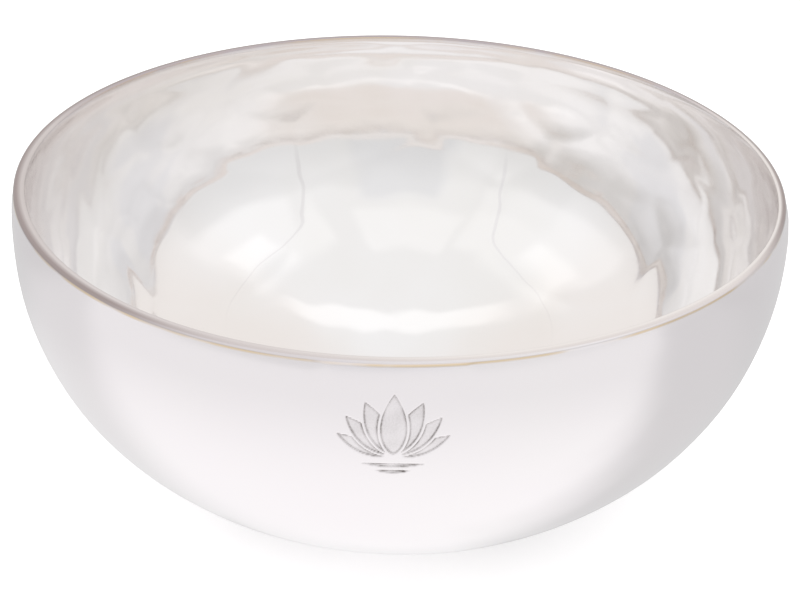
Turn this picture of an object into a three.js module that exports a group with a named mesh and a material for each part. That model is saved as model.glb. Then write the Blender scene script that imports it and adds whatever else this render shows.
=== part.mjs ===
// Singing bowl: one piece of hand-hammered bronze, silver-finished and polished.
// Millimetres, +Z up. The origin is at the middle of the foot, on the surface the bowl stands on.
import * as THREE from 'three';

// Driving dimensions.
const RIM_RADIUS = 150; // outer edge of the lip
const HEIGHT = 136; // foot to lip
const BELLY_SWELL = 1.9; // how far the widest ring stands out past the lip
const BELLY_DEPTH = 11.2; // depth of the widest ring below the lip
const CURVE_DEPTH = 141.5; // depth that the wall's curve would reach with no flattened foot
const CURVE_FULLNESS = 2.2; // 2 is a plain ellipse, and more makes the lower wall fuller
const FOOT_SOFTNESS = 2; // how gently the flat foot runs out into the wall
const LIP_WIDTH = 3.8;
const WALL_THICKNESS = 2.8;
const FLOOR_THICKNESS = 3.2;
const LIP_TAPER = 26; // depth over which the lip thins to the wall
const FLOOR_TAPER = 50; // height over which the wall thickens to the floor
const OUTER_LIP_ROUND = 1.2;
const INNER_LIP_ROUND = 0.5;

// Facets.
const AROUND = 72;
const ROUND_STEPS = 4;
const NECK_STEPS = 4;
const OUTER_STEPS = 22;
const INNER_STEPS = 18;

const bellyRadius = RIM_RADIUS + BELLY_SWELL;
const { smoothstep } = THREE.MathUtils;

// A point on the wall's curve, which turns from the widest ring (0) down to the axis (1).
function ovalPoint(turn) {
  const angle = turn * Math.PI / 2;
  const radius = bellyRadius * Math.cos(angle);
  const fall = (CURVE_DEPTH - BELLY_DEPTH) * Math.sin(angle) ** (2 / CURVE_FULLNESS);
  return new THREE.Vector2(radius, HEIGHT - BELLY_DEPTH - fall);
}

// The foot: heights near and below the floor are pressed up to it with a soft edge.
function pressFoot(point) {
  const overlap = Math.max(0, FOOT_SOFTNESS - Math.abs(point.y));
  point.y = Math.max(point.y, 0) + overlap * overlap / (4 * FOOT_SOFTNESS);
  return point;
}

// Outside wall from the foot's middle up to just under the rounded lip.
function outerWall(steps) {
  const points = [];
  for (let i = 0; i < steps; i += 1) {
    points.push(pressFoot(ovalPoint(1 - i / steps)));
  }
  points[0].x = 0;
  for (let i = 0; i < NECK_STEPS; i += 1) {
    const rise = i / NECK_STEPS;
    const height = HEIGHT - BELLY_DEPTH + (BELLY_DEPTH - OUTER_LIP_ROUND) * rise;
    points.push(new THREE.Vector2(bellyRadius - BELLY_SWELL * rise * rise, height));
  }
  return points;
}

// A quarter round between two straight faces, turning from one angle to another about its centre.
function quarterRound(x, y, radius, from, to) {
  const points = [];
  for (let i = 0; i <= ROUND_STEPS; i += 1) {
    const angle = from + (to - from) * i / ROUND_STEPS;
    points.push(new THREE.Vector2(x + radius * Math.cos(angle), y + radius * Math.sin(angle)));
  }
  return points;
}

// The metal is thickest at the lip, thins down the wall and thickens again at the floor.
function thicknessAt(height) {
  const lip = smoothstep(height, HEIGHT - LIP_TAPER, HEIGHT);
  const floor = 1 - smoothstep(height, 0, FLOOR_TAPER);
  return WALL_THICKNESS + (LIP_WIDTH - WALL_THICKNESS) * lip + (FLOOR_THICKNESS - WALL_THICKNESS) * floor;
}

// Inside wall, from the lip down to the axis: the outside wall moved inwards by the metal's thickness.
function innerWall(steps) {
  const outside = outerWall(steps);
  const points = [];
  for (let i = 1; i < outside.length; i += 1) {
    const before = outside[i - 1];
    const after = outside[Math.min(i + 1, outside.length - 1)];
    const along = after.clone().sub(before).normalize();
    const inwards = new THREE.Vector2(-along.y, along.x);
    points.push(outside[i].clone().addScaledVector(inwards, thicknessAt(outside[i].y)));
  }
  points.unshift(new THREE.Vector2(0, FLOOR_THICKNESS));
  return points.reverse();
}

// Whole outline: foot, outside wall, rounded lip, inside wall.
function bowlOutline() {
  const lipLevel = HEIGHT - OUTER_LIP_ROUND;
  const innerEdge = RIM_RADIUS - LIP_WIDTH;
  return [
    ...outerWall(OUTER_STEPS),
    ...quarterRound(RIM_RADIUS - OUTER_LIP_ROUND, lipLevel, OUTER_LIP_ROUND, 0, Math.PI / 2),
    ...quarterRound(
      innerEdge + INNER_LIP_ROUND, HEIGHT - INNER_LIP_ROUND, INNER_LIP_ROUND, Math.PI / 2, Math.PI),
    ...innerWall(INNER_STEPS),
  ];
}

const silveredBronze = new THREE.MeshStandardMaterial({ color: '#dedbd6', roughness: 0.15, metalness: 1 });
const bowl = new THREE.Mesh(new THREE.LatheGeometry(bowlOutline(), AROUND), silveredBronze);
bowl.name = 'bowl';
bowl.rotation.x = Math.PI / 2;

const singingBowl = new THREE.Group();
singingBowl.name = 'singing_bowl';
singingBowl.add(bowl);

export default singingBowl;
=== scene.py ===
"""A hand-hammered singing bowl, silver-finished and polished, on a pale studio floor.

Everything is in metres, +Z up, with the origin at the middle of the bowl's foot. The engraved mark is on
the -Y side. The bowl is one piece of metal, so it is one mesh: a blank is spun from its outline, its
inside is dented ring by ring, and the mark is cut into a finer patch of the outside wall.
"""

import logging
import math
from dataclasses import dataclass
from enum import Enum

import bpy
import numpy as np
from mathutils import Matrix, Vector


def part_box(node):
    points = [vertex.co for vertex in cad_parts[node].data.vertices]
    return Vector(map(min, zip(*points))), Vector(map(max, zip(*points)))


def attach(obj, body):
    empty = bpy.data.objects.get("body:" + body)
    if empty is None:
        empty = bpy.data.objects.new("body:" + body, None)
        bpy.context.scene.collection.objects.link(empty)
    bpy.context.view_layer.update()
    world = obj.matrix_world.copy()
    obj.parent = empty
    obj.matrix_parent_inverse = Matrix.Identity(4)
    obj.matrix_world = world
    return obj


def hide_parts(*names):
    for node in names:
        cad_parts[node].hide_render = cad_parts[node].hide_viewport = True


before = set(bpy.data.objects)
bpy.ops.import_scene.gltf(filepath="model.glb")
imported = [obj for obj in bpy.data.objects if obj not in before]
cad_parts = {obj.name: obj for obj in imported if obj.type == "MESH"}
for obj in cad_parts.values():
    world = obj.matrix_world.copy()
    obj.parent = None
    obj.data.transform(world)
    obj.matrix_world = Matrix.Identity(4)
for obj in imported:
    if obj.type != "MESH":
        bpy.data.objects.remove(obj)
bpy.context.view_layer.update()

LOG = logging.getLogger("singing_bowl")
MM = 0.001
TURN = 2.0 * math.pi
FAR = 1.0  # metres, further than any point lies from the mark
HOLLOW_BOUNCES = 20  # reflections that light can make between the walls of the hollow

Colour = tuple[float, float, float]
Range = tuple[float, float]


class Zone(Enum):
    """Which part of the outline a ring of the bowl belongs to."""

    OUTSIDE = 0
    LIP = 1
    INSIDE = 2


def ease(value: np.ndarray, low: float, high: float) -> np.ndarray:
    """Runs smoothly from 0 at low to 1 at high.

    Args:
        value: Numbers to map.
        low: Where the step starts.
        high: Where the step ends.

    Returns:
        The eased share of the way from low to high.
    """
    share = np.clip((value - low) / (high - low), 0.0, 1.0)
    return share * share * (3.0 - 2.0 * share)


def deselect_all() -> None:
    """Leaves nothing selected in object mode."""
    bpy.ops.object.select_all(action="DESELECT")


def make_active(piece: bpy.types.Object) -> None:
    """Selects one piece alone and makes it the active one.

    Args:
        piece: The piece to select.
    """
    deselect_all()
    piece.select_set(True)
    bpy.context.view_layer.objects.active = piece


def read_places(mesh: bpy.types.Mesh) -> np.ndarray:
    """Reads a mesh's vertex places.

    Args:
        mesh: The mesh to read.

    Returns:
        An array of one row of x, y, z per vertex.
    """
    places = np.empty(len(mesh.vertices) * 3, np.float32)
    mesh.vertices.foreach_get("co", places)
    return places.reshape(-1, 3).astype(float)


def write_places(mesh: bpy.types.Mesh, places: np.ndarray) -> None:
    """Moves a mesh's vertices to the given places.

    Args:
        mesh: The mesh to change.
        places: One row of x, y, z per vertex.
    """
    mesh.vertices.foreach_set("co", places.astype(np.float32).ravel())
    mesh.update()


def write_values(mesh: bpy.types.Mesh, name: str, values: np.ndarray) -> None:
    """Stores one number per vertex under a name that the materials can read.

    Args:
        mesh: The mesh to store on.
        name: The attribute's name.
        values: One number per vertex.
    """
    layer = mesh.attributes.get(name) or mesh.attributes.new(name, "FLOAT", "POINT")
    layer.data.foreach_set("value", values.astype(np.float32))


def write_colours(mesh: bpy.types.Mesh, name: str, colours: np.ndarray) -> None:
    """Stores one colour per vertex under a name that the materials can read.

    Args:
        mesh: The mesh to store on.
        name: The attribute's name.
        colours: One row of red, green and blue per vertex.
    """
    layer = mesh.attributes.get(name) or mesh.attributes.new(name, "FLOAT_COLOR", "POINT")
    opaque = np.column_stack([colours, np.ones(len(colours))])
    layer.data.foreach_set("color", opaque.astype(np.float32).ravel())


def read_values(mesh: bpy.types.Mesh, name: str) -> np.ndarray:
    """Reads the per-vertex numbers stored under a name.

    Args:
        mesh: The mesh to read.
        name: The attribute's name.

    Returns:
        One number per vertex.
    """
    values = np.empty(len(mesh.vertices), np.float32)
    mesh.attributes[name].data.foreach_get("value", values)
    return values.astype(float)


@dataclass(frozen=True)
class WallCurve:
    """The bowl's turned outline, before any hammering.

    The outside is an oval that stands a little past the lip, the foot is pressed flat, and the inside
    follows the outside at the metal's thickness.
    """

    belly_radius: float
    height: float
    belly_swell: float = 1.9 * MM
    belly_depth: float = 11.2 * MM
    curve_depth: float = 141.5 * MM
    fullness: float = 2.2
    foot_softness: float = 2.0 * MM
    lip_width: float = 3.8 * MM
    wall_thickness: float = 2.8 * MM
    floor_thickness: float = 3.2 * MM
    lip_taper: float = 26.0 * MM
    floor_taper: float = 50.0 * MM
    outer_round: float = 1.2 * MM
    inner_round: float = 0.5 * MM
    lip_clearance: float = 2.0 * MM

    @property
    def rim_radius(self) -> float:
        """Radius of the lip's outer edge.

        Returns:
            The radius in metres.
        """
        return self.belly_radius - self.belly_swell

    def outer_radius(self, heights: np.ndarray) -> np.ndarray:
        """Gives the outside wall's radius.

        Args:
            heights: Heights above the foot, clear of the flattened part.

        Returns:
            The radius of the wall at each height.
        """
        depth = self.height - heights
        rise = np.clip(1.0 - depth / self.belly_depth, 0.0, 1.0)
        neck = self.belly_radius - self.belly_swell * rise * rise
        fall = np.clip((depth - self.belly_depth) / (self.curve_depth - self.belly_depth), 0.0, 1.0)
        oval = self.belly_radius * np.sqrt(1.0 - fall**self.fullness)
        return np.where(depth < self.belly_depth, neck, oval)

    def thickness(self, heights: np.ndarray) -> np.ndarray:
        """Gives the metal's thickness before hammering.

        Args:
            heights: Heights above the foot.

        Returns:
            The thickness at each height.
        """
        lip = ease(heights, self.height - self.lip_taper, self.height)
        floor = 1.0 - ease(heights, 0.0, self.floor_taper)
        thick = self.wall_thickness + (self.lip_width - self.wall_thickness) * lip
        return thick + (self.floor_thickness - self.wall_thickness) * floor

    def outside(self, fineness: int = 1500) -> np.ndarray:
        """Traces the outside wall from the foot's middle up to the rounded lip.

        Args:
            fineness: How many points the oval part is traced with.

        Returns:
            Rows of radius and height.
        """
        angle = np.linspace(math.pi / 2, 0.0, fineness)
        fall = (self.curve_depth - self.belly_depth) * np.sin(angle) ** (2.0 / self.fullness)
        radius = self.belly_radius * np.cos(angle)
        level = self.height - self.belly_depth - fall
        overlap = np.clip(self.foot_softness - np.abs(level), 0.0, None)
        level = np.maximum(level, 0.0) + overlap**2 / (4.0 * self.foot_softness)
        rise = np.linspace(0.0, 1.0, fineness // 10)[1:]
        neck_level = self.height - self.belly_depth + (self.belly_depth - self.outer_round) * rise
        neck = self.belly_radius - self.belly_swell * rise**2
        path = np.column_stack([np.r_[radius, neck], np.r_[level, neck_level]])
        path[0, 0] = 0.0
        return path

    def inside(self) -> np.ndarray:
        """Traces the inside wall from just under the lip down to the middle of the floor.

        Returns:
            Rows of radius and height.
        """
        path = self.outside()
        along = np.gradient(path, axis=0)
        along /= np.linalg.norm(along, axis=1, keepdims=True)
        inwards = np.column_stack([-along[:, 1], along[:, 0]])
        wall = path + inwards * self.thickness(path[:, 1])[:, None]
        start = np.array([[self.rim_radius - self.lip_width, self.height - self.inner_round]])
        wall = wall[(wall[:, 0] > 0.0) & (wall[:, 1] < start[0, 1] - self.lip_clearance)]
        wall = np.vstack([[0.0, self.floor_thickness], wall, start])
        return wall[::-1]


def even_points(path: np.ndarray, count: int) -> np.ndarray:
    """Spaces points evenly along a path.

    Args:
        path: Rows of radius and height.
        count: How many points to give back, with both ends.

    Returns:
        Rows of radius and height.
    """
    steps = np.hypot(*np.diff(path, axis=0).T)
    travelled = np.r_[0.0, np.cumsum(steps)]
    stops = np.linspace(0.0, travelled[-1], count)
    return np.column_stack([np.interp(stops, travelled, path[:, k]) for k in (0, 1)])


def quarter_round(middle: tuple[float, float], radius: float, start: float, steps: int) -> np.ndarray:
    """Traces a quarter circle, turning from one angle on by a right angle.

    Args:
        middle: Radius and height of its middle.
        radius: The round's own radius.
        start: Angle of its first point, in radians.
        steps: How many edges it has.

    Returns:
        Rows of radius and height.
    """
    angle = start + np.linspace(0.0, math.pi / 2, steps + 1)
    return np.column_stack([middle[0] + radius * np.cos(angle), middle[1] + radius * np.sin(angle)])


@dataclass(frozen=True)
class DentRing:
    """One round of hammer dents, all at about the same depth below the lip.

    The first dent's heading is in degrees. Width and tall are half sizes, and wander is how unevenly
    the dents are set, as a share of their spacing and size.
    """

    depth: float
    count: int
    first: float
    width: float
    tall: float
    sunk: float
    wander: float


@dataclass(frozen=True)
class HammerWork:
    """The hammering of the bowl's inside: rings of broad dents that meet in soft ridges."""

    rings: tuple[DentRing, ...] = (
        DentRing(9 * MM, 27, 4.0, 20 * MM, 9 * MM, 0.36 * MM, 0.24),
        DentRing(27 * MM, 20, 8.0, 25 * MM, 17 * MM, 0.60 * MM, 0.18),
        DentRing(49 * MM, 15, 2.0, 34 * MM, 21 * MM, 0.60 * MM, 0.12),
        DentRing(78 * MM, 9, 10.0, 50 * MM, 40 * MM, 1.15 * MM, 0.07),
    )
    dish_reach: float = 128 * MM
    dish_sunk: float = 1.50 * MM
    dish_centre: tuple[float, float] = (2.0 * MM, 5.0 * MM)
    dish_top_share: float = 0.6
    ridge_softness: float = 0.018 * MM
    ripple: float = 0.055 * MM
    ripple_size: float = 16 * MM
    starts_below_lip: Range = (0.5 * MM, 7.0 * MM)
    planish: float = 0.14 * MM
    planish_size: float = 46 * MM
    planish_below_lip: Range = (1.5 * MM, 14.0 * MM)
    planish_above_foot: Range = (3.0 * MM, 16.0 * MM)
    seed: int = 11

    def sink(self, places: np.ndarray, wall: np.ndarray, height: float) -> np.ndarray:
        """Works out how far each point of the inside is pressed into the metal.

        Args:
            places: Rows of x, y, z on the undented inside.
            wall: Rows of radius and height along the inside, from the lip down.
            height: The bowl's height.

        Returns:
            The sunk depth of each point.
        """
        draw = np.random.default_rng(self.seed)
        total = np.ones(len(places))
        for ring in self.rings:
            level = height - ring.depth
            radius = float(np.interp(-level, -wall[:, 1], wall[:, 0]))
            for index in range(ring.count):
                wander = draw.uniform(-1.0, 1.0, 4) * ring.wander
                angle = math.radians(ring.first) + (index + wander[0]) * TURN / ring.count
                size = 1.0 + 0.5 * wander[1]
                rise = wander[2] * ring.tall
                sunk = ring.sunk * (1.0 + wander[3])
                share = self.dent_share(places, (radius, angle, level + rise), ring, size)
                total += self.weight(sunk * (1.0 - share))
        reach = np.hypot(places[:, 0] - self.dish_centre[0], places[:, 1] - self.dish_centre[1])
        dish = self.dish_sunk * (1.0 - (reach / self.dish_reach) ** 2)
        low = places[:, 2] < self.dish_top_share * height
        total += np.where(low, self.weight(dish), 0.0)
        return self.ridge_softness * np.log(total)

    def weight(self, sunk: np.ndarray) -> np.ndarray:
        """Weighs a sunk depth, so that the deepest of several dents wins with a soft ridge between them.

        Args:
            sunk: Depths in metres.

        Returns:
            The weight of each depth.
        """
        return np.exp(np.clip(sunk / self.ridge_softness, -40.0, 60.0))

    @staticmethod
    def dent_share(
        places: np.ndarray, middle: tuple[float, float, float], ring: DentRing, size: float
    ) -> np.ndarray:
        """Measures how far points lie from a dent's middle, as the square of a share of its half size.

        Args:
            places: Rows of x, y, z.
            middle: Radius, angle and height of the dent's middle.
            ring: The ring that the dent belongs to.
            size: How much larger than the ring's usual dent it is.

        Returns:
            0 at the middle and 1 at the dent's edge.
        """
        radius, angle, level = middle
        across = -places[:, 0] * math.sin(angle) + places[:, 1] * math.cos(angle)
        outward = places[:, 0] * math.cos(angle) + places[:, 1] * math.sin(angle) - radius
        upward = places[:, 2] - level
        along = np.hypot(outward, upward)
        return (across / (ring.width * size)) ** 2 + (along / (ring.tall * size)) ** 2


def soft_noise(places: np.ndarray, size: float, seed: int, waves: int = 18) -> np.ndarray:
    """Adds up a few plane waves that run in all directions, for a gentle uneven swell.

    Args:
        places: Rows of x, y, z.
        size: The waves' usual length.
        seed: Starts the random draw.
        waves: How many waves are added.

    Returns:
        Numbers of about -1 to 1, one per point.
    """
    draw = np.random.default_rng(seed)
    total = np.zeros(len(places))
    for _ in range(waves):
        heading = draw.normal(size=3)
        heading *= TURN / (size * draw.uniform(0.7, 1.6)) / np.linalg.norm(heading)
        total += np.cos(places @ heading + draw.uniform(0.0, TURN))
    return total / math.sqrt(waves / 2.0) / 2.0


@dataclass(frozen=True)
class Stroke:
    """One engraved shape: a line that bends as it goes, swept by a round tool that opens and closes.

    Heading and bend are in degrees, clockwise from straight up.
    """

    start: tuple[float, float]
    heading: float
    length: float
    bend: float
    half_width: float
    fullest: float = 0.42
    blunting: float = 0.15 * MM
    roundness: float = 0.9
    steps: int = 90

    def distance(self, across: np.ndarray, up: np.ndarray) -> np.ndarray:
        """Measures how far points lie outside the shape.

        Args:
            across: Places to the right of the mark's middle.
            up: Places above the mark's middle.

        Returns:
            Distances in metres, negative inside the shape.
        """
        nearest = np.full(len(across), FAR)
        for share in np.linspace(0.0, 1.0, self.steps):
            turned = math.radians(self.heading + self.bend * share / 2.0)
            centre_across = self.start[0] + self.length * share * math.sin(turned)
            centre_up = self.start[1] + self.length * share * math.cos(turned)
            opening = share ** (math.log(0.5) / math.log(self.fullest))
            fullness = max(0.0, math.sin(math.pi * opening)) ** self.roundness
            width = self.half_width * fullness - self.blunting
            nearest = np.minimum(nearest, np.hypot(across - centre_across, up - centre_up) - width)
        return nearest


@dataclass(frozen=True)
class LotusMark:
    """A plain lotus seen from the side, with two ripples of water under it, cut into the outside wall."""

    depth_below_lip: float = 27.5 * MM
    petal_root: tuple[float, float] = (0.0, -8.0 * MM)
    gap: float = 0.9 * MM
    cut_depth: float = 0.32 * MM
    edge: float = 0.38 * MM
    # Width of the painted shade along the engraving's outline.
    recess_shade_width: float = 0.50 * MM
    half_across: float = 23.0 * MM
    half_up: float = 24.5 * MM
    trued_border: float = 3.0 * MM

    def petals(self) -> list[list[Stroke]]:
        """Lists the petals, front row first.

        Returns:
            Rows of strokes, each row lying behind the rows before it.
        """
        rows = [[Stroke(self.petal_root, 0.0, 24.5 * MM, 0.0, 4.7 * MM)]]
        for lean, length, half_width, bend in (
            (29.0, 23.5 * MM, 4.2 * MM, -8.0),
            (56.0, 22.5 * MM, 3.8 * MM, -18.0),
            (81.0, 21.0 * MM, 3.1 * MM, -26.0),
        ):
            rows.append(
                [
                    Stroke(self.petal_root, lean * side, length, bend * side, half_width)
                    for side in (-1.0, 1.0)
                ]
            )
        return rows

    def ripples(self) -> list[Stroke]:
        """Lists the two ripples under the flower, each a stroke that sags and rises again.

        Returns:
            The strokes, upper one first.
        """
        upper = (-12.6 * MM, 11.5 * MM, 0.95 * MM)
        lower = (-15.8 * MM, 6.5 * MM, 0.80 * MM)
        return [
            Stroke((-half_length, level), 97.0, 2.0 * half_length, -14.0, half_width, 0.5)
            for level, half_length, half_width in (upper, lower)
        ]

    def outline(self, across: np.ndarray, up: np.ndarray) -> np.ndarray:
        """Measures how far points lie outside the whole mark.

        Args:
            across: Places to the right of the mark's middle.
            up: Places above the mark's middle.

        Returns:
            Distances in metres, negative where the mark is cut.
        """
        shown = np.full(len(across), FAR)
        front = np.full(len(across), FAR)
        for row in self.petals():
            petal = np.min([stroke.distance(across, up) for stroke in row], axis=0)
            shown = np.minimum(shown, np.maximum(petal, self.gap - front))
            front = np.minimum(front, petal)
        for ripple in self.ripples():
            shown = np.minimum(shown, ripple.distance(across, up))
        return shown


class NodeSheet:
    """Short calls for laying out a material's nodes."""

    def __init__(self, tree: bpy.types.NodeTree) -> None:
        """Keeps the node tree that the calls add to.

        Args:
            tree: A material's node tree.
        """
        self.tree = tree

    def add(self, kind: str) -> bpy.types.Node:
        """Adds a node.

        Args:
            kind: The node's type name.

        Returns:
            The new node.
        """
        return self.tree.nodes.new(kind)

    def join(self, source: object, target: bpy.types.NodeSocket) -> None:
        """Links a socket to an input, or sets the input to a number or colour.

        Args:
            source: A socket, a number or a colour.
            target: The input to feed.
        """
        if isinstance(source, bpy.types.NodeSocket):
            self.tree.links.new(source, target)
        elif isinstance(source, tuple):
            target.default_value = (*source, 1.0)
        else:
            target.default_value = source

    def value(self, name: str) -> bpy.types.NodeSocket:
        """Reads one of the mesh's own numbers.

        Args:
            name: The attribute's name.

        Returns:
            The number's socket.
        """
        node = self.add("ShaderNodeAttribute")
        node.attribute_name = name
        return node.outputs["Fac"]

    def maths(self, operation: str, *inputs: object) -> bpy.types.NodeSocket:
        """Does a sum on numbers or sockets.

        Args:
            operation: The Math node's operation.
            *inputs: Its inputs in order.

        Returns:
            The answer's socket.
        """
        node = self.add("ShaderNodeMath")
        node.operation = operation
        for source, target in zip(inputs, node.inputs):
            self.join(source, target)
        return node.outputs["Value"]

    def span(self, source: object, low: float, high: float) -> bpy.types.NodeSocket:
        """Eases a number from 0 at low to 1 at high.

        Args:
            source: Number or socket to map.
            low: Where the step starts.
            high: Where the step ends.

        Returns:
            The eased number's socket.
        """
        node = self.add("ShaderNodeMapRange")
        node.interpolation_type = "SMOOTHSTEP"
        self.join(source, node.inputs["Value"])
        node.inputs["From Min"].default_value = low
        node.inputs["From Max"].default_value = high
        return node.outputs["Result"]

    def mix_number(self, low: object, high: object, share: object) -> bpy.types.NodeSocket:
        """Runs from one number to another by a share.

        Args:
            low: Number or socket at a share of 0.
            high: Number or socket at a share of 1.
            share: The share.

        Returns:
            The mixed number's socket.
        """
        node = self.add("ShaderNodeMix")
        node.data_type = "FLOAT"
        self.join(share, node.inputs[0])
        self.join(low, node.inputs[2])
        self.join(high, node.inputs[3])
        return node.outputs[0]

    def blend(self, low: object, high: object, share: object) -> bpy.types.NodeSocket:
        """Runs from one colour to another by a share.

        Args:
            low: Colour or socket at a share of 0.
            high: Colour or socket at a share of 1.
            share: The share.

        Returns:
            The mixed colour's socket.
        """
        node = self.add("ShaderNodeMix")
        node.data_type = "RGBA"
        self.join(share, node.inputs[0])
        self.join(low, node.inputs[6])
        self.join(high, node.inputs[7])
        return node.outputs[2]

    def noise(
        self, place: bpy.types.NodeSocket, scale: float, detail: float, roughness: float
    ) -> bpy.types.NodeSocket:
        """Adds a noise pattern.

        Args:
            place: The coordinates it reads.
            scale: Its scale, per metre.
            detail: How many finer layers it has.
            roughness: How strong the finer layers are.

        Returns:
            The pattern's number, of about 0 to 1.
        """
        node = self.add("ShaderNodeTexNoise")
        self.join(place, node.inputs["Vector"])
        node.inputs["Scale"].default_value = scale
        node.inputs["Detail"].default_value = detail
        node.inputs["Roughness"].default_value = roughness
        return node.outputs["Fac"]

    def stretch(
        self, place: bpy.types.NodeSocket, scale: tuple[float, float, float]
    ) -> bpy.types.NodeSocket:
        """Scales coordinates along each axis.

        Args:
            place: The coordinates.
            scale: The scale along x, y and z.

        Returns:
            The scaled coordinates' socket.
        """
        node = self.add("ShaderNodeMapping")
        self.join(place, node.inputs["Vector"])
        node.inputs["Scale"].default_value = scale
        return node.outputs["Vector"]


@dataclass(frozen=True)
class CreaseShade:
    """A painted dark line of shade where two hammer dents meet on the inside: straight down, then swinging
    aside.

    Headings are in degrees round the axis, and top, bend and foot are heights.
    """

    heading: float
    foot_heading: float
    top: float
    bend: float
    foot: float
    half_width: float = 0.8 * MM
    top_fade: float = 14 * MM
    wander: float = 9 * MM
    wander_scale: float = 40.0

    def line(self, sheet: NodeSheet, place: bpy.types.NodeSocket) -> bpy.types.NodeSocket:
        """Draws the line in nodes.

        Args:
            sheet: The node sheet to add to.
            place: Object coordinates.

        Returns:
            One on the line and nought away from it.
        """
        parts = sheet.add("ShaderNodeSeparateXYZ")
        sheet.join(place, parts.inputs[0])
        x, y, z = parts.outputs
        heading = sheet.maths("ARCTAN2", y, x)
        swing = math.radians(self.foot_heading - self.heading)
        below_bend = sheet.maths("SUBTRACT", 1.0, sheet.span(z, self.foot, self.bend))
        swung = sheet.maths("MULTIPLY", below_bend, swing)
        offset = sheet.maths("SUBTRACT", heading, sheet.maths("ADD", swung, math.radians(self.heading)))
        reach = sheet.maths("SQRT", sheet.maths("MULTIPLY_ADD", x, x, sheet.maths("MULTIPLY", y, y)))
        uneven = sheet.noise(place, self.wander_scale, 2.0, 0.5)
        wander = sheet.maths("MULTIPLY_ADD", uneven, self.wander, -self.wander / 2.0)
        aside = sheet.maths("ABSOLUTE", sheet.maths("MULTIPLY_ADD", offset, reach, wander))
        near = sheet.maths("SUBTRACT", 1.0, sheet.span(aside, self.half_width * 0.4, self.half_width * 1.6))
        below_top = sheet.maths("SUBTRACT", 1.0, sheet.span(z, self.top - self.top_fade, self.top))
        above_foot = sheet.span(z, self.foot, self.bend)
        return sheet.maths("MULTIPLY", near, sheet.maths("MULTIPLY", below_top, above_foot))


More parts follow.
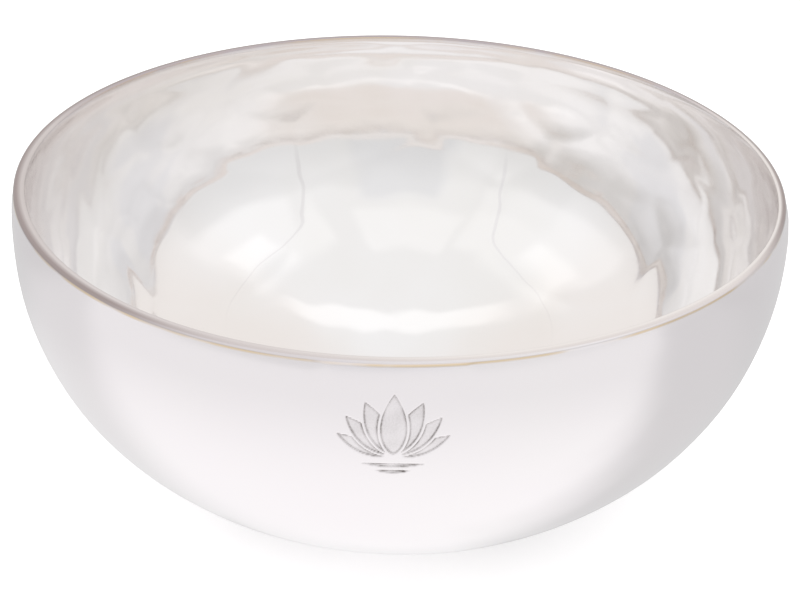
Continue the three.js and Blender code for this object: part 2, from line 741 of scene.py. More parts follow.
@dataclass(frozen=True)
class SilverFinish:
    """Polished silver over bronze: a mirror inside, a softer sheen outside, bronze showing at the lip, with
    shade painted on the lip, on the left inside wall, along two inside creases and round the engraving.
    """

    cool_silver: Colour = (0.925, 0.886, 0.903)
    warm_silver: Colour = (0.966, 0.951, 0.951)
    aged_silver: Colour = (0.935, 0.916, 0.900)
    # Painted shade: a darker silver in patches on the left inside wall, near the lip.
    left_shade_silver: Colour = (0.79, 0.765, 0.74)
    fresh_silver: Colour = (0.992, 0.984, 0.980)
    # Painted shade: a grey-pink band on the lip at the back and the left, standing in for the darker
    # reflection in its bevel, and a dark line along its outer edge.
    lip_painted_shade: Colour = (0.55, 0.50, 0.53)
    lip_edge_painted_shade: Colour = (0.42, 0.37, 0.37)
    bronze: Colour = (0.78, 0.62, 0.42)
    # Ink in the engraving, also used for the painted shade along its outline.
    stain_and_recess_shade: Colour = (0.20, 0.175, 0.165)
    inside_roughness: float = 0.045
    upper_roughness: float = 0.085
    outside_roughness: float = 0.15
    stain_roughness: float = 0.6
    # Painted shade: a darker tone along two inside creases, standing in for the shade along them.
    crease_shade_colour: Colour = (0.87, 0.85, 0.85)
    crease_shades: tuple[CreaseShade, ...] = (
        CreaseShade(110.0, 140.0, 90 * MM, 56 * MM, 24 * MM),
        CreaseShade(70.0, 42.0, 88 * MM, 52 * MM, 20 * MM),
    )
    upper_ageing: float = 0.30
    cloud_scale: float = 9.0
    wear_scale: float = 22.0
    fleck_scale: float = 900.0
    speckle_scale: float = 1500.0
    streak_scale: tuple[float, float, float] = (14.0, 14.0, 260.0)
    streak_haze: float = 0.03
    fleck_haze: float = 0.015
    brushing: float = 0.02
    brushing_depth: float = 0.02 * MM
    grain_depth: float = 0.06 * MM

    def build(self) -> bpy.types.Material:
        """Makes the material.

        Returns:
            A material that reads the bowl's own attributes and Object coordinates.
        """
        material = bpy.data.materials.new("silvered_bronze")
        material.use_nodes = True
        sheet = NodeSheet(material.node_tree)
        place = sheet.add("ShaderNodeTexCoord").outputs["Object"]
        shader = sheet.tree.nodes["Principled BSDF"]
        shader.inputs["Metallic"].default_value = 1.0
        streaks = sheet.noise(sheet.stretch(place, self.streak_scale), 1.0, 4.0, 0.6)
        speckle = sheet.span(sheet.noise(place, self.speckle_scale, 3.0, 0.7), 0.35, 0.65)
        inked = sheet.maths("MULTIPLY_ADD", speckle, 0.45, 0.62)
        # The engraving's ink, with painted shade along its outline for the shadow of the cut's walls.
        stain_and_shade = sheet.maths("MULTIPLY", sheet.value("stain_and_recess_shade"), inked)
        colour = self.lip_colour(sheet, place, self.wall_colour(sheet, place))
        sheet.join(sheet.blend(colour, self.stain_and_recess_shade, stain_and_shade), shader.inputs["Base Color"])
        sheet.join(self.roughness(sheet, place, streaks, stain_and_shade), shader.inputs["Roughness"])
        sheet.join(self.relief(sheet, streaks, speckle), shader.inputs["Normal"])
        return material

    def wall_colour(self, sheet: NodeSheet, place: bpy.types.NodeSocket) -> bpy.types.NodeSocket:
        """Colours the walls: cool silver outside, warm inside, aged in clouds, with painted shade in patches
        on the left inside wall and in lines along two inside creases.

        Args:
            sheet: The node sheet to add to.
            place: Object coordinates.

        Returns:
            The colour's socket.
        """
        clouds = sheet.noise(place, self.cloud_scale, 3.0, 0.55)
        inside = sheet.value("inside")
        colour = sheet.blend(self.cool_silver, self.warm_silver, inside)
        aged = sheet.maths("MULTIPLY", sheet.span(clouds, 0.46, 0.72), sheet.mix_number(0.25, 0.9, inside))
        upper = sheet.maths("MULTIPLY", sheet.value("upper"), self.upper_ageing)
        colour = sheet.blend(colour, self.aged_silver, sheet.maths("MAXIMUM", aged, upper))
        colour = sheet.blend(colour, self.fresh_silver, sheet.value("fresh"))
        # Painted shade on the left inside wall, in cloudy patches.
        patchy = sheet.maths("MULTIPLY_ADD", sheet.span(clouds, 0.34, 0.60), 0.45, 0.55)
        painted_left_shade = sheet.maths("MULTIPLY", sheet.value("painted_left_shade"), patchy)
        colour = sheet.blend(colour, self.left_shade_silver, painted_left_shade)
        # Painted shade along the two creases, on the inside only.
        crease_shade = sheet.maths("MAXIMUM", *(crease.line(sheet, place) for crease in self.crease_shades))
        return sheet.blend(colour, self.crease_shade_colour, sheet.maths("MULTIPLY", crease_shade, inside))

    def lip_colour(
        self, sheet: NodeSheet, place: bpy.types.NodeSocket, colour: bpy.types.NodeSocket
    ) -> bpy.types.NodeSocket:
        """Paints a grey-pink shade on the lip and a dark shade along its outer edge, and lets bronze show
        where it is worn.

        Args:
            sheet: The node sheet to add to.
            place: Object coordinates.
            colour: The walls' colour.

        Returns:
            The colour's socket.
        """
        colour = sheet.blend(colour, self.lip_painted_shade, sheet.value("lip"))
        colour = sheet.blend(colour, self.lip_edge_painted_shade, sheet.value("lip_edge_shade"))
        patches = sheet.span(sheet.noise(place, self.wear_scale, 3.0, 0.6), 0.40, 0.60)
        return sheet.blend(colour, self.bronze, sheet.maths("MULTIPLY", sheet.value("gold"), patches))

    def roughness(
        self,
        sheet: NodeSheet,
        place: bpy.types.NodeSocket,
        streaks: bpy.types.NodeSocket,
        stain_and_shade: bpy.types.NodeSocket,
    ) -> bpy.types.NodeSocket:
        """Sets the polish of each zone, with faint streaks and flecks of haze.

        Args:
            sheet: The node sheet to add to.
            place: Object coordinates.
            streaks: The polishing streaks.
            stain_and_shade: How much ink, and painted shade along the outline, lies in the engraving.

        Returns:
            The roughness's socket.
        """
        flecks = sheet.noise(place, self.fleck_scale, 2.0, 0.5)
        mirror = sheet.mix_number(self.inside_roughness, self.upper_roughness, sheet.value("upper"))
        rough = sheet.mix_number(self.outside_roughness, mirror, sheet.value("inside"))
        haze = sheet.maths("MULTIPLY_ADD", sheet.span(streaks, 0.35, 0.7), self.streak_haze, rough)
        haze = sheet.maths("MULTIPLY_ADD", sheet.span(flecks, 0.4, 0.75), self.fleck_haze, haze)
        return sheet.mix_number(haze, self.stain_roughness, stain_and_shade)

    def relief(
        self, sheet: NodeSheet, streaks: bpy.types.NodeSocket, speckle: bpy.types.NodeSocket
    ) -> bpy.types.NodeSocket:
        """Adds very shallow brushing everywhere and a grain in the engraving.

        Args:
            sheet: The node sheet to add to.
            streaks: The polishing streaks.
            speckle: The engraving's grain.

        Returns:
            The normal's socket.
        """
        brushed = sheet.add("ShaderNodeBump")
        brushed.inputs["Strength"].default_value = self.brushing
        brushed.inputs["Distance"].default_value = self.brushing_depth
        sheet.join(streaks, brushed.inputs["Height"])
        grainy = sheet.add("ShaderNodeBump")
        grainy.inputs["Distance"].default_value = self.grain_depth
        sheet.join(sheet.maths("MULTIPLY", sheet.value("stain_and_recess_shade"), 0.8), grainy.inputs["Strength"])
        sheet.join(speckle, grainy.inputs["Height"])
        sheet.join(brushed.outputs["Normal"], grainy.inputs["Normal"])
        return grainy.outputs["Normal"]


@dataclass(frozen=True)
class RimWave:
    """One slow wave of the hand-finished lip, which isn't quite level. One crest is at the heading given."""

    crests: int
    high: float
    at: float


@dataclass(frozen=True)
class TarnishAndShadePlaces:
    """Where the finish changes and where shade is painted. Depths are below the lip, headings in degrees
    round the axis.

    A side is a range of the cosine of the angle from a heading, over which a change fades in. Lip rings
    are counted from the lip's first ring, or from the inside wall's first ring where named so.
    """

    upper_depths: Range = (36.0 * MM, 58.0 * MM)
    fresh_heading: float = -90.0
    fresh_side: Range = (0.05, 0.55)
    fresh_depths: Range = (34.0 * MM, 60.0 * MM)
    # Where shade is painted on the left inside wall, fading out downwards.
    left_shade_heading: float = 165.0
    left_shade_side: Range = (0.35, 0.95)
    left_shade_depths: Range = (14.0 * MM, 54.0 * MM)
    # Where a dark shade is painted along the lip's outer round, strongest at the back.
    edge_shade_rings: tuple[float, ...] = (-1.4, -1.0, 0.0, 1.0, 5.0, 6.0, 7.0)
    edge_shade_shares: tuple[float, ...] = (0.0, 0.2, 0.7, 1.0, 1.0, 0.6, 0.0)
    edge_shade_heading: float = 107.0
    edge_shade_side: Range = (-0.82, -0.48)
    edge_shade_least: float = 0.16
    gold_rings: tuple[float, ...] = (-2.0, -1.0, 0.0, 1.0)
    gold_shares: tuple[float, ...] = (0.0, 1.0, 0.6, 0.0)
    inner_gold_rings: tuple[float, ...] = (-4.0, -2.0, 0.0, 1.0)
    inner_gold_shares: tuple[float, ...] = (0.0, 0.7, 0.4, 0.0)
    inner_gold_heading: float = 90.0
    inner_gold_side: Range = (0.2, 0.9)
    lip_start_rings: Range = (-2.0, 1.0)
    lip_end_inside_rings: Range = (-1.0, 1.4)
    back_heading: float = 98.0
    back_side: Range = (0.05, 0.75)
    left_heading: float = 200.0
    left_side: Range = (0.1, 0.8)
    left_share: float = 0.45
    stain_patch: float = 7.0 * MM

    @staticmethod
    def side(angle: np.ndarray, heading: float, fade: Range) -> np.ndarray:
        """Tells how much each point faces a heading.

        Args:
            angle: Angles round the axis, in radians.
            heading: The heading, in degrees.
            fade: Cosines of the angle from the heading where the share is 0 and 1.

        Returns:
            The share, from 0 to 1.
        """
        return ease(np.cos(angle - math.radians(heading)), *fade)


@dataclass
class Bowl:
    """The whole bowl, one closed mesh."""

    curve: WallCurve
    hammer: HammerWork
    mark: LotusMark
    finish: SilverFinish
    tarnish_and_shade: TarnishAndShadePlaces = TarnishAndShadePlaces()
    around: int = 400
    outside_rings: int = 46
    inside_rings: int = 122
    rim_waves: tuple[RimWave, ...] = (
        RimWave(1, 0.35 * MM, 0.0),
        RimWave(2, 0.53 * MM, -45.0),
        RimWave(3, 0.35 * MM, 60.0),
    )
    outer_lip_steps: int = 6
    flat_lip_points: int = 4
    inner_lip_steps: int = 4
    collar_share: float = 0.14
    lip_crown: float = 0.12 * MM
    lip_shift: tuple[float, float] = (0.7 * MM, 0.2 * MM)
    lip_shift_reach: Range = (1.0 * MM, 22.0 * MM)
    lip_edge_kept: float = 1.0 * MM
    rim_wave_reach: float = 30.0 * MM
    left_flank_flat: float = 0.9 * MM
    left_flank_heading: float = 168.0
    left_flank_starts: Range = (0.0, 9.0 * MM)
    left_flank_ends: Range = (14.0 * MM, 60.0 * MM)
    mark_cuts: int = 9
    merge_distance: float = 0.005 * MM

    def outline(self) -> tuple[np.ndarray, np.ndarray]:
        """Joins the outside, the lip and the inside into one line from axis to axis.

        Returns:
            Rows of radius and height, and each row's zone.
        """
        curve = self.curve
        outer = even_points(curve.outside(), self.outside_rings)
        collar = outer[-1] + (outer[-2] - outer[-1]) * self.collar_share
        outer = np.vstack([outer[:-1], collar, outer[-1]])
        outer_middle = (curve.rim_radius - curve.outer_round, curve.height - curve.outer_round)
        outer_round = quarter_round(outer_middle, curve.outer_round, 0.0, self.outer_lip_steps)
        inner_middle = (
            curve.rim_radius - curve.lip_width + curve.inner_round,
            curve.height - curve.inner_round,
        )
        inner_round = quarter_round(inner_middle, curve.inner_round, math.pi / 2, self.inner_lip_steps)
        flat = np.linspace(outer_round[-1], inner_round[0], self.flat_lip_points)[1:-1]
        lip = np.vstack([outer_round[1:], flat, inner_round[:-1]])
        spread = (lip[:, 0] - inner_round[0, 0]) / (curve.rim_radius - inner_round[0, 0])
        above_wall = (lip[:, 1] - outer_middle[1]) / curve.outer_round
        lip[:, 1] -= self.lip_crown * np.clip(spread, 0.0, 1.0) ** 2 * above_wall
        inner = even_points(curve.inside(), self.inside_rings)
        zones = np.repeat(
            [Zone.OUTSIDE.value, Zone.LIP.value, Zone.INSIDE.value], [len(outer), len(lip), len(inner)]
        )
        return np.vstack([outer, lip, inner]), zones

    def spin_blank(self) -> bpy.types.Object:
        """Spins the outline once round the bowl's axis.

        Returns:
            The plain bowl, whose vertices remember their station along the outline.
        """
        points, _ = self.outline()
        deselect_all()
        bpy.ops.mesh.primitive_circle_add(vertices=len(points), radius=self.curve.rim_radius)
        blank = bpy.context.object
        blank.name = blank.data.name = "hammered_bowl"
        write_places(blank.data, np.column_stack([points[:, 0], np.zeros(len(points)), points[:, 1]]))
        write_values(blank.data, "station", np.arange(len(points)))
        self.drop_axis_edge(blank)
        bpy.ops.object.mode_set(mode="EDIT")
        bpy.ops.mesh.select_all(action="SELECT")
        bpy.ops.mesh.spin(
            steps=self.around,
            angle=TURN,
            center=(0.0, 0.0, 0.0),
            axis=(0.0, 0.0, 1.0),
            use_auto_merge=False,
        )
        bpy.ops.mesh.select_all(action="SELECT")
        # The spin's last ring meets its first only to within rounding, so this joins the seam.
        bpy.ops.mesh.remove_doubles(threshold=self.merge_distance)
        bpy.ops.mesh.normals_make_consistent(inside=False)
        bpy.ops.object.mode_set(mode="OBJECT")
        return blank

    @staticmethod
    def drop_axis_edge(blank: bpy.types.Object) -> None:
        """Deletes the edge that joins the outline's two ends along the axis.

        Args:
            blank: The closed outline, before it is spun.
        """
        bpy.ops.object.mode_set(mode="EDIT")
        bpy.ops.mesh.select_mode(type="EDGE")
        bpy.ops.mesh.select_all(action="DESELECT")
        bpy.ops.object.mode_set(mode="OBJECT")
        places = read_places(blank.data)
        on_axis = np.abs(places[:, 0]) < 0.001 * MM
        for edge in blank.data.edges:
            edge.select = bool(on_axis[edge.vertices[0]] and on_axis[edge.vertices[1]])
        bpy.ops.object.mode_set(mode="EDIT")
        bpy.ops.mesh.delete(type="EDGE")
        bpy.ops.object.mode_set(mode="OBJECT")

    def refine_mark_patch(self, bowl: bpy.types.Object) -> None:
        """Divides the outside wall finely where the mark is cut.

        Args:
            bowl: The spun bowl.
        """
        mesh = bowl.data
        places = read_places(mesh)
        across, up = self.mark_places(places)
        zone = self.zone_of(mesh)
        near = (np.abs(across) < self.mark.half_across) & (np.abs(up) < self.mark.half_up)
        near &= (places[:, 1] < 0.0) & (zone == Zone.OUTSIDE.value)
        bpy.ops.object.mode_set(mode="EDIT")
        bpy.ops.mesh.select_mode(type="FACE")
        bpy.ops.mesh.select_all(action="DESELECT")
        bpy.ops.object.mode_set(mode="OBJECT")
        for face in mesh.polygons:
            face.select = all(near[index] for index in face.vertices)
        bpy.ops.object.mode_set(mode="EDIT")
        bpy.ops.mesh.subdivide(number_cuts=self.mark_cuts, quadcorner="INNERVERT")
        bpy.ops.object.mode_set(mode="OBJECT")
        LOG.info("mark patch divided: %d vertices in all", len(mesh.vertices))

    def mark_places(self, places: np.ndarray) -> tuple[np.ndarray, np.ndarray]:
        """Measures points from the mark's middle, along the wall.

        Args:
            places: Rows of x, y, z.

        Returns:
            Distances to the right and upwards, as seen from the front.
        """
        angle = np.arctan2(places[:, 0], -places[:, 1])
        across = angle * self.curve.belly_radius
        up = places[:, 2] - (self.curve.height - self.mark.depth_below_lip)
        return across, up

    def zone_of(self, mesh: bpy.types.Mesh) -> np.ndarray:
        """Tells which zone of the outline each vertex belongs to.

        Args:
            mesh: The bowl's mesh.

        Returns:
            One zone number per vertex.
        """
        _, zones = self.outline()
        station = np.clip(np.rint(read_values(mesh, "station")).astype(int), 0, len(zones) - 1)
        return zones[station]

    def shape(self, bowl: bpy.types.Object) -> None:
        """Dents, engraves and trues the bowl by moving its vertices, and stores what the finish reads.

        Args:
            bowl: The spun bowl, with its mark patch divided.
        """
        mesh = bowl.data
        places = read_places(mesh)
        zone = self.zone_of(mesh)
        station = read_values(mesh, "station")
        angle = np.arctan2(places[:, 1], places[:, 0])
        spoke = np.column_stack([np.cos(angle), np.sin(angle)])
        radius = np.hypot(places[:, 0], places[:, 1])

        across, up = self.mark_places(places)
        border = self.mark.trued_border
        patch = (zone == Zone.OUTSIDE.value) & (np.abs(across) < self.mark.half_across + border)
        patch &= (np.abs(up) < self.mark.half_up + border) & (places[:, 1] < 0.0)
        radius[patch] = self.curve.outer_radius(places[patch, 2])
        places[:, :2] = spoke * radius[:, None]

        distance = np.full(len(places), FAR)
        distance[patch] = self.mark.outline(across[patch], up[patch])
        cut = 1.0 - ease(distance, -self.mark.edge / 2, self.mark.edge / 2)
        depth = self.curve.height - places[:, 2]
        pressed = self.hammered(places, zone, depth, angle)
        pressed[patch] += self.mark.cut_depth * cut[patch]

        into_metal = self.into_metal(station)
        places[:, :2] += spoke * (into_metal[:, 0] * pressed)[:, None]
        places[:, 2] += into_metal[:, 1] * pressed
        self.true_lip(places, angle, depth)
        write_places(mesh, places)
        self.store_finish_values(mesh, station, distance, cut, angle)

    def into_metal(self, station: np.ndarray) -> np.ndarray:
        """Finds the direction into the metal, square to the outline.

        Args:
            station: Each vertex's station along the outline.

        Returns:
            Rows of the direction's outward and upward parts, of unit length.
        """
        points, _ = self.outline()
        along = np.gradient(points, axis=0)
        along /= np.linalg.norm(along, axis=1, keepdims=True)
        square = np.column_stack([-along[:, 1], along[:, 0]])
        stations = np.arange(len(points))
        direction = np.column_stack([np.interp(station, stations, square[:, k]) for k in (0, 1)])
        return direction / np.linalg.norm(direction, axis=1, keepdims=True)

    def hammered(
        self, places: np.ndarray, zone: np.ndarray, depth: np.ndarray, angle: np.ndarray
    ) -> np.ndarray:
        """Works out how far hammering presses each point into the metal, inside and outside.

        Args:
            places: Rows of x, y, z.
            zone: Each point's zone.
            depth: Each point's depth below the lip.
            angle: Each point's angle round the axis.

        Returns:
            The pressed depth of each point.
        """
        work = self.hammer
        points, zones = self.outline()
        inside = zone == Zone.INSIDE.value
        wall = points[zones == Zone.INSIDE.value]
        pressed = np.zeros(len(places))
        pressed[inside] = work.sink(places[inside], wall, self.curve.height)
        pressed[inside] += work.ripple * soft_noise(places, work.ripple_size, work.seed + 1)[inside]
        pressed[inside] *= ease(depth[inside], *work.starts_below_lip)

        outside = zone == Zone.OUTSIDE.value
        planish = soft_noise(places, work.planish_size, work.seed + 2)
        calm = ease(depth, *work.planish_below_lip) * ease(places[:, 2], *work.planish_above_foot)
        left_flank = np.clip(np.cos(angle - math.radians(self.left_flank_heading)), 0.0, 1.0) ** 2
        flank = left_flank * ease(depth, *self.left_flank_starts)
        flank *= 1.0 - ease(depth, *self.left_flank_ends)
        pressed[outside] += self.left_flank_flat * flank[outside]
        pressed[outside] += work.planish * (planish[outside] - 1.0) * calm[outside]
        return pressed

    def true_lip(self, places: np.ndarray, angle: np.ndarray, depth: np.ndarray) -> None:
        """Lets the lip rise and fall a little, and sets its inner edge slightly off centre.

        Args:
            places: Rows of x, y, z, which are changed.
            angle: Each point's angle round the axis.
            depth: Each point's depth below the lip.
        """
        curve = self.curve
        near_lip = 1.0 - ease(depth, 0.0, self.rim_wave_reach)
        for wave in self.rim_waves:
            swell = wave.high * np.cos(wave.crests * (angle - math.radians(wave.at)))
            places[:, 2] += swell * near_lip
        radius = np.hypot(places[:, 0], places[:, 1])
        inner = ease(curve.rim_radius - radius, self.lip_edge_kept, curve.lip_width)
        near_edge = 1.0 - ease(depth, *self.lip_shift_reach)
        for axis in (0, 1):
            places[:, axis] += self.lip_shift[axis] * inner * near_edge

    def store_finish_values(
        self,
        mesh: bpy.types.Mesh,
        station: np.ndarray,
        distance: np.ndarray,
        cut: np.ndarray,
        angle: np.ndarray,
    ) -> None:
        """Stores the numbers that the material reads at each vertex.

        Args:
            mesh: The shaped mesh.
            station: Each vertex's station along the outline.
            distance: How far each vertex lies outside the mark.
            cut: How deeply each vertex is cut, from 0 to 1.
            angle: Each vertex's angle round the axis.
        """
        spots = self.tarnish_and_shade
        _, zones = self.outline()
        lip_start = int(np.searchsorted(zones, Zone.LIP.value))
        inside_start = int(np.searchsorted(zones, Zone.INSIDE.value))
        lip_ring = station - lip_start
        inside_ring = station - inside_start
        inside = ease(station, lip_start, inside_start)
        places = read_places(mesh)
        depth = self.curve.height - places[:, 2]
        write_values(mesh, "inside", inside)
        write_values(mesh, "upper", inside * (1.0 - ease(depth, *spots.upper_depths)))

        fresh = spots.side(angle, spots.fresh_heading, spots.fresh_side)
        write_values(mesh, "fresh", inside * fresh * (1.0 - ease(depth, *spots.fresh_depths)))
        # Painted shade on the left inside wall, fading out downwards.
        painted_left_shade = spots.side(angle, spots.left_shade_heading, spots.left_shade_side)
        write_values(mesh, "painted_left_shade", inside * painted_left_shade * (1.0 - ease(depth, *spots.left_shade_depths)))

        # Painted shade: a dark line along the lip's outer round, strongest at the back.
        edge = np.interp(lip_ring, spots.edge_shade_rings, spots.edge_shade_shares)
        edge_shade_side = spots.side(angle, spots.edge_shade_heading, spots.edge_shade_side)
        write_values(mesh, "lip_edge_shade", edge * (spots.edge_shade_least + (1.0 - spots.edge_shade_least) * edge_shade_side))
        gold = np.interp(lip_ring, spots.gold_rings, spots.gold_shares)
        inner_gold = np.interp(inside_ring, spots.inner_gold_rings, spots.inner_gold_shares)
        inner_gold *= spots.side(angle, spots.inner_gold_heading, spots.inner_gold_side)
        write_values(mesh, "gold", gold + inner_gold)

        # Painted shade: a grey-pink band on the lip, full at the back and weaker at the left.
        lip = ease(lip_ring, *spots.lip_start_rings)
        lip *= 1.0 - ease(inside_ring, *spots.lip_end_inside_rings)
        back = spots.side(angle, spots.back_heading, spots.back_side)
        left = spots.left_share * spots.side(angle, spots.left_heading, spots.left_side)
        write_values(mesh, "lip", lip * np.maximum(back, left))

        # The engraving holds ink throughout, and a painted shade along its outline stands in for the shadow
        # of the cut's walls.
        recess_wall_shade = np.exp(-((distance / self.mark.recess_shade_width) ** 2))
        uneven = soft_noise(places, spots.stain_patch, self.hammer.seed + 3)
        write_values(mesh, "stain_and_recess_shade", cut * (0.14 + (0.72 + 0.25 * uneven) * recess_wall_shade + 0.06 * uneven))

    def build(self) -> bpy.types.Object:
        """Makes the finished bowl.

        Returns:
            The bowl's object.
        """
        bowl = self.spin_blank()
        make_active(bowl)
        self.refine_mark_patch(bowl)
        self.shape(bowl)
        make_active(bowl)
        bpy.ops.object.shade_smooth()
        bowl.data.materials.clear()
        bowl.data.materials.append(self.finish.build())
        return bowl


@dataclass(frozen=True)
class Panel:
    """A lit or shaded patch of the tent, by the direction in which the bowl sees it.

    Headings are 0 at the bowl's front and grow towards its right. Wide and tall are half sizes. All
    four are in degrees.
    """

    heading: float
    lift: float
    wide: float
    tall: float
    gain: float
    soft_edge: float = 3.0

    def share(self, heading: np.ndarray, lift: np.ndarray) -> np.ndarray:
        """Tells how much of the patch is seen in each direction.

        Args:
            heading: Headings in degrees.
            lift: Lifts above the horizon in degrees.

        Returns:
            The share, from 0 to 1.
        """
        off = np.abs((heading - self.heading + 180.0) % 360.0 - 180.0)
        inside_wide = 1.0 - ease(off, self.wide - self.soft_edge, self.wide + self.soft_edge)
        rise = np.abs(lift - self.lift)
        return inside_wide * (1.0 - ease(rise, self.tall - self.soft_edge, self.tall + self.soft_edge))


@dataclass(frozen=True)
class Studio:
    """A white tent with lit panels over a pale floor. The tent is seen only in reflections."""

    tent_radius: float = 3.0
    floor_radius: float = 6.0
    ground_cells: int = 240
    ground_lift: float = 0.05 * MM
    floor_emission: float = 0.35
    sky: float = 0.915
    low_drop: float = 0.09
    low_lifts: Range = (12.0, 34.0)
    panels: tuple[Panel, ...] = (
        Panel(0.0, 24.0, 17.0, 14.0, -0.06),
        Panel(-30.0, 4.0, 34.0, 7.0, -0.07),
        Panel(52.0, 20.0, 36.0, 12.0, -0.05),
        Panel(-48.0, 26.0, 14.0, 14.0, -0.03),
        Panel(-68.0, 43.0, 32.0, 17.0, 0.06),
        Panel(66.0, 45.0, 26.0, 13.0, 0.06),
        Panel(-4.0, 55.0, 28.0, 11.0, 0.06),
        Panel(72.0, 50.0, 14.0, 6.0, 0.08),
        Panel(-78.0, 50.0, 16.0, 6.0, 0.08),
    )
    strip_gain: float = 0.13
    strip_lean: float = 1.0
    strip_edge: Range = (2.0, 4.5)
    strip_end: Range = (20.0, 32.0)
    warm_tint: Colour = (0.955, 0.913, 0.882)
    warm_headings: Range = (60.0, 130.0)
    warm_lifts: Range = (62.0, 82.0)
    cool_tint: Colour = (0.975, 0.982, 1.0)
    cool_headings: Range = (14.0, 22.0)
    cool_lifts: Range = (34.0, 44.0)
    near_floor: float = 1.04
    far_floor: float = 0.89
    floor_fade: Range = (0.13, 0.36)
    # Painted shadow of the bowl behind it, and under it, on the glowing floor card.
    back_shadow_tone: float = 0.68
    back_fade: Range = (0.03, 0.16)
    under_shade: float = 0.30
    under_fade: Range = (0.062, 0.086)

    def tent_glow(self, directions: np.ndarray) -> np.ndarray:
        """Gives the tent's brightness in each direction.

        Args:
            directions: Rows of unit vectors from the bowl.

        Returns:
            A red, green and blue brightness per direction.
        """
        heading = np.degrees(np.arctan2(directions[:, 0], -directions[:, 1]))
        lift = np.degrees(np.arcsin(np.clip(directions[:, 2], -1.0, 1.0)))
        glow = np.full(len(directions), self.sky)
        glow -= self.low_drop * (1.0 - ease(lift, *self.low_lifts))
        for panel in self.panels:
            glow += panel.gain * panel.share(heading, lift)
        upward = np.maximum(directions[:, 2], 0.01)
        lean = np.degrees(np.arctan2(directions[:, 1], upward))
        sideways = np.degrees(np.arctan2(np.abs(directions[:, 0]), upward))
        strip = 1.0 - ease(np.abs(lean - self.strip_lean), *self.strip_edge)
        strip *= 1.0 - ease(sideways, *self.strip_end)
        glow += self.strip_gain * strip
        warm = ease(np.abs(heading), *self.warm_headings) * (1.0 - ease(lift, *self.warm_lifts))
        cool = (1.0 - ease(np.abs(heading), *self.cool_headings)) * (1.0 - ease(lift, *self.cool_lifts))
        tint = 1.0 + warm[:, None] * (np.array(self.warm_tint) - 1.0)
        tint += cool[:, None] * (np.array(self.cool_tint) - 1.0)
        return glow[:, None] * tint

    def floor_glow_with_shadows(self, places: np.ndarray) -> np.ndarray:
        """Gives the brightness of the floor as the polished metal sees it, brighter near the bowl, with the
        bowl's shadows painted in to the right, to the left, behind it and right under it.

        Args:
            places: Rows of x, y, z on the floor.

        Returns:
            One brightness per point.
        """
        across, away = places[:, 0], places[:, 1]
        reach = np.hypot(across, away)
        glow = self.near_floor - (self.near_floor - self.far_floor) * ease(reach, *self.floor_fade)
        # Painted shadows of the bowl on the glowing card: to the right, to the left, behind and right under
        # it.
        shade_right = ease(away + 0.27 * across, -0.105, -0.045) * ease(across, 0.0, 0.06)
        shade_left = ease(away, -0.11, -0.04) * ease(-across, 0.0, 0.06)
        right_shadow_tone = 0.71 - 0.06 * ease(away, -0.05, 0.12)
        left_shadow_tone = 0.83 - 0.05 * ease(reach, 0.18, 0.28)
        glow += (right_shadow_tone - glow) * shade_right
        glow += (left_shadow_tone - glow) * shade_left
        glow += (self.back_shadow_tone - glow) * ease(away, *self.back_fade)
        glow -= self.under_shade * (1.0 - ease(reach, *self.under_fade))
        return glow

    def build(self) -> None:
        """Makes the floor, the tent and the lamps."""
        self.floor()
        self.tent()
        self.world()
        self.lamps()

    def floor(self) -> None:
        """Makes the pale floor."""
        deselect_all()
        bpy.ops.mesh.primitive_circle_add(vertices=96, radius=self.floor_radius, fill_type="NGON")
        floor = bpy.context.object
        floor.name = "studio_floor"
        material = bpy.data.materials.new("pale_floor")
        material.use_nodes = True
        shader = material.node_tree.nodes["Principled BSDF"]
        sheet = NodeSheet(material.node_tree)
        place = sheet.add("ShaderNodeTexCoord").outputs["Object"]
        tone = sheet.blend((0.90, 0.90, 0.90), (0.93, 0.93, 0.93), sheet.noise(place, 3.0, 2.0, 0.5))
        sheet.join(tone, shader.inputs["Base Color"])
        shader.inputs["Roughness"].default_value = 0.8
        shader.inputs["Specular IOR Level"].default_value = 0.0
        shader.inputs["Emission Color"].default_value = (1.0, 1.0, 1.0, 1.0)
        shader.inputs["Emission Strength"].default_value = self.floor_emission
        floor.data.materials.append(material)
        floor.visible_glossy = False

    def tent(self) -> None:
        """Makes the parts of the tent that only reflections see: its roof and a glowing card that stands in
        for the lit floor, with the bowl's shadows painted into it.
        """
        deselect_all()
        bpy.ops.mesh.primitive_uv_sphere_add(segments=144, ring_count=90, radius=self.tent_radius)
        roof = bpy.context.object
        roof.name = "tent_roof"
        bpy.ops.object.mode_set(mode="EDIT")
        bpy.ops.mesh.select_all(action="SELECT")
        bpy.ops.mesh.bisect(plane_co=(0.0, 0.0, 0.0), plane_no=(0.0, 0.0, 1.0), clear_inner=True)
        bpy.ops.object.mode_set(mode="OBJECT")
        places = read_places(roof.data)
        directions = places / np.linalg.norm(places, axis=1)[:, None]
        write_colours(roof.data, "glow", self.tent_glow(directions))

        deselect_all()
        bpy.ops.mesh.primitive_grid_add(
            x_subdivisions=self.ground_cells,
            y_subdivisions=self.ground_cells,
            size=2.0 * self.tent_radius,
            location=(0.0, 0.0, self.ground_lift),
        )
        ground = bpy.context.object
        ground.name = "tent_ground"
        bpy.ops.object.transform_apply(location=True)
        floor_glow_with_shadows = self.floor_glow_with_shadows(read_places(ground.data))
        write_colours(ground.data, "glow", np.repeat(floor_glow_with_shadows[:, None], 3, axis=1))
        glow = self.glow_material()
        for card in (roof, ground):
            card.data.materials.append(glow)
            card.visible_camera = False
            card.visible_diffuse = False
            card.visible_shadow = False
            card.visible_transmission = False

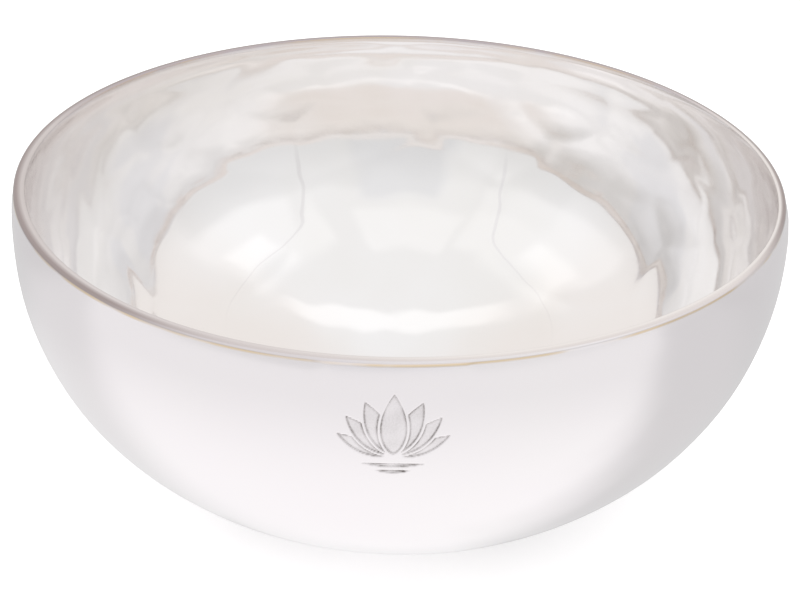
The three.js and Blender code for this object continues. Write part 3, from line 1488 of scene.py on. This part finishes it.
    @staticmethod
    def glow_material() -> bpy.types.Material:
        """Makes the tent's glow, which each vertex sets.

        Returns:
            An emission material.
        """
        material = bpy.data.materials.new("tent_glow")
        material.use_nodes = True
        tree = material.node_tree
        tree.nodes.clear()
        sheet = NodeSheet(tree)
        lamp = sheet.add("ShaderNodeEmission")
        glow = sheet.add("ShaderNodeAttribute")
        glow.attribute_name = "glow"
        sheet.join(glow.outputs["Color"], lamp.inputs["Color"])
        output = sheet.add("ShaderNodeOutputMaterial")
        sheet.join(lamp.outputs["Emission"], output.inputs["Surface"])
        return material

    @staticmethod
    def world() -> None:
        """Sets the even white surroundings, and enough bounces for a mirror-bright hollow."""
        world = bpy.data.worlds.new("white_room")
        world.use_nodes = True
        bpy.context.scene.world = world
        background = world.node_tree.nodes["Background"]
        background.inputs["Color"].default_value = (1.0, 1.0, 1.0, 1.0)
        background.inputs["Strength"].default_value = 1.0
        scene = bpy.context.scene
        scene.view_settings.view_transform = "Standard"
        scene.cycles.max_bounces = HOLLOW_BOUNCES
        scene.cycles.glossy_bounces = HOLLOW_BOUNCES

    @staticmethod
    def lamps() -> None:
        """Hangs two soft lamps, left and right, that only light the floor."""
        for side, power in ((-1.0, 3.0), (1.0, 2.0)):
            deselect_all()
            bpy.ops.object.light_add(type="AREA", location=(0.9 * side, -0.3, 1.1))
            lamp = bpy.context.object
            lamp.name = "soft_lamp_left" if side < 0 else "soft_lamp_right"
            lamp.data.shape = "DISK"
            lamp.data.size = 0.9
            lamp.data.energy = power
            towards_bowl = Vector((0.0, 0.0, 0.1)) - lamp.location
            lamp.rotation_euler = towards_bowl.to_track_quat("-Z", "Y").to_euler()
            lamp.visible_glossy = False


@dataclass(frozen=True)
class Viewpoint:
    """Where the camera stands, from the middle of the bowl's mouth, and what it aims at.

    Lift and roll are in degrees, and lens and sensor width in millimetres.
    """

    distance: float = 0.825
    lift: float = 24.667
    aim: tuple[float, float, float] = (1.2 * MM, 0.0, 79.1 * MM)
    roll: float = 1.543
    lens: float = 94.4
    sensor_width: float = 36.0
    furthest: float = 50.0

    def build(self, mouth_height: float) -> None:
        """Makes the scene's camera.

        Args:
            mouth_height: Height of the bowl's mouth above the floor.
        """
        lift = math.radians(self.lift)
        spot = Vector((0.0, -math.cos(lift), math.sin(lift))) * self.distance
        spot.z += mouth_height
        bpy.ops.object.camera_add(location=spot)
        camera = bpy.context.object
        camera.name = "camera"
        look = (Vector(self.aim) - spot).to_track_quat("-Z", "Y").to_matrix().to_4x4()
        roll = Matrix.Rotation(math.radians(self.roll), 4, "Z")
        camera.matrix_world = Matrix.Translation(spot) @ look @ roll
        camera.data.lens = self.lens
        camera.data.sensor_width = self.sensor_width
        camera.data.clip_end = self.furthest
        bpy.context.scene.camera = camera


def main() -> None:
    """Builds the bowl and its surroundings."""
    low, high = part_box("bowl")
    curve = WallCurve(belly_radius=high.x, height=high.z)
    Viewpoint().build(curve.height)
    bowl = Bowl(curve, HammerWork(), LotusMark(), SilverFinish()).build()
    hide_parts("bowl")
    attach(bowl, "root")
    LOG.info("%s: %d faces", bowl.name, len(bowl.data.polygons))
    Studio().build()
    LOG.info("studio: floor, tent and lamps")


if __name__ == "__main__":
    logging.basicConfig(level=logging.INFO)
    main()
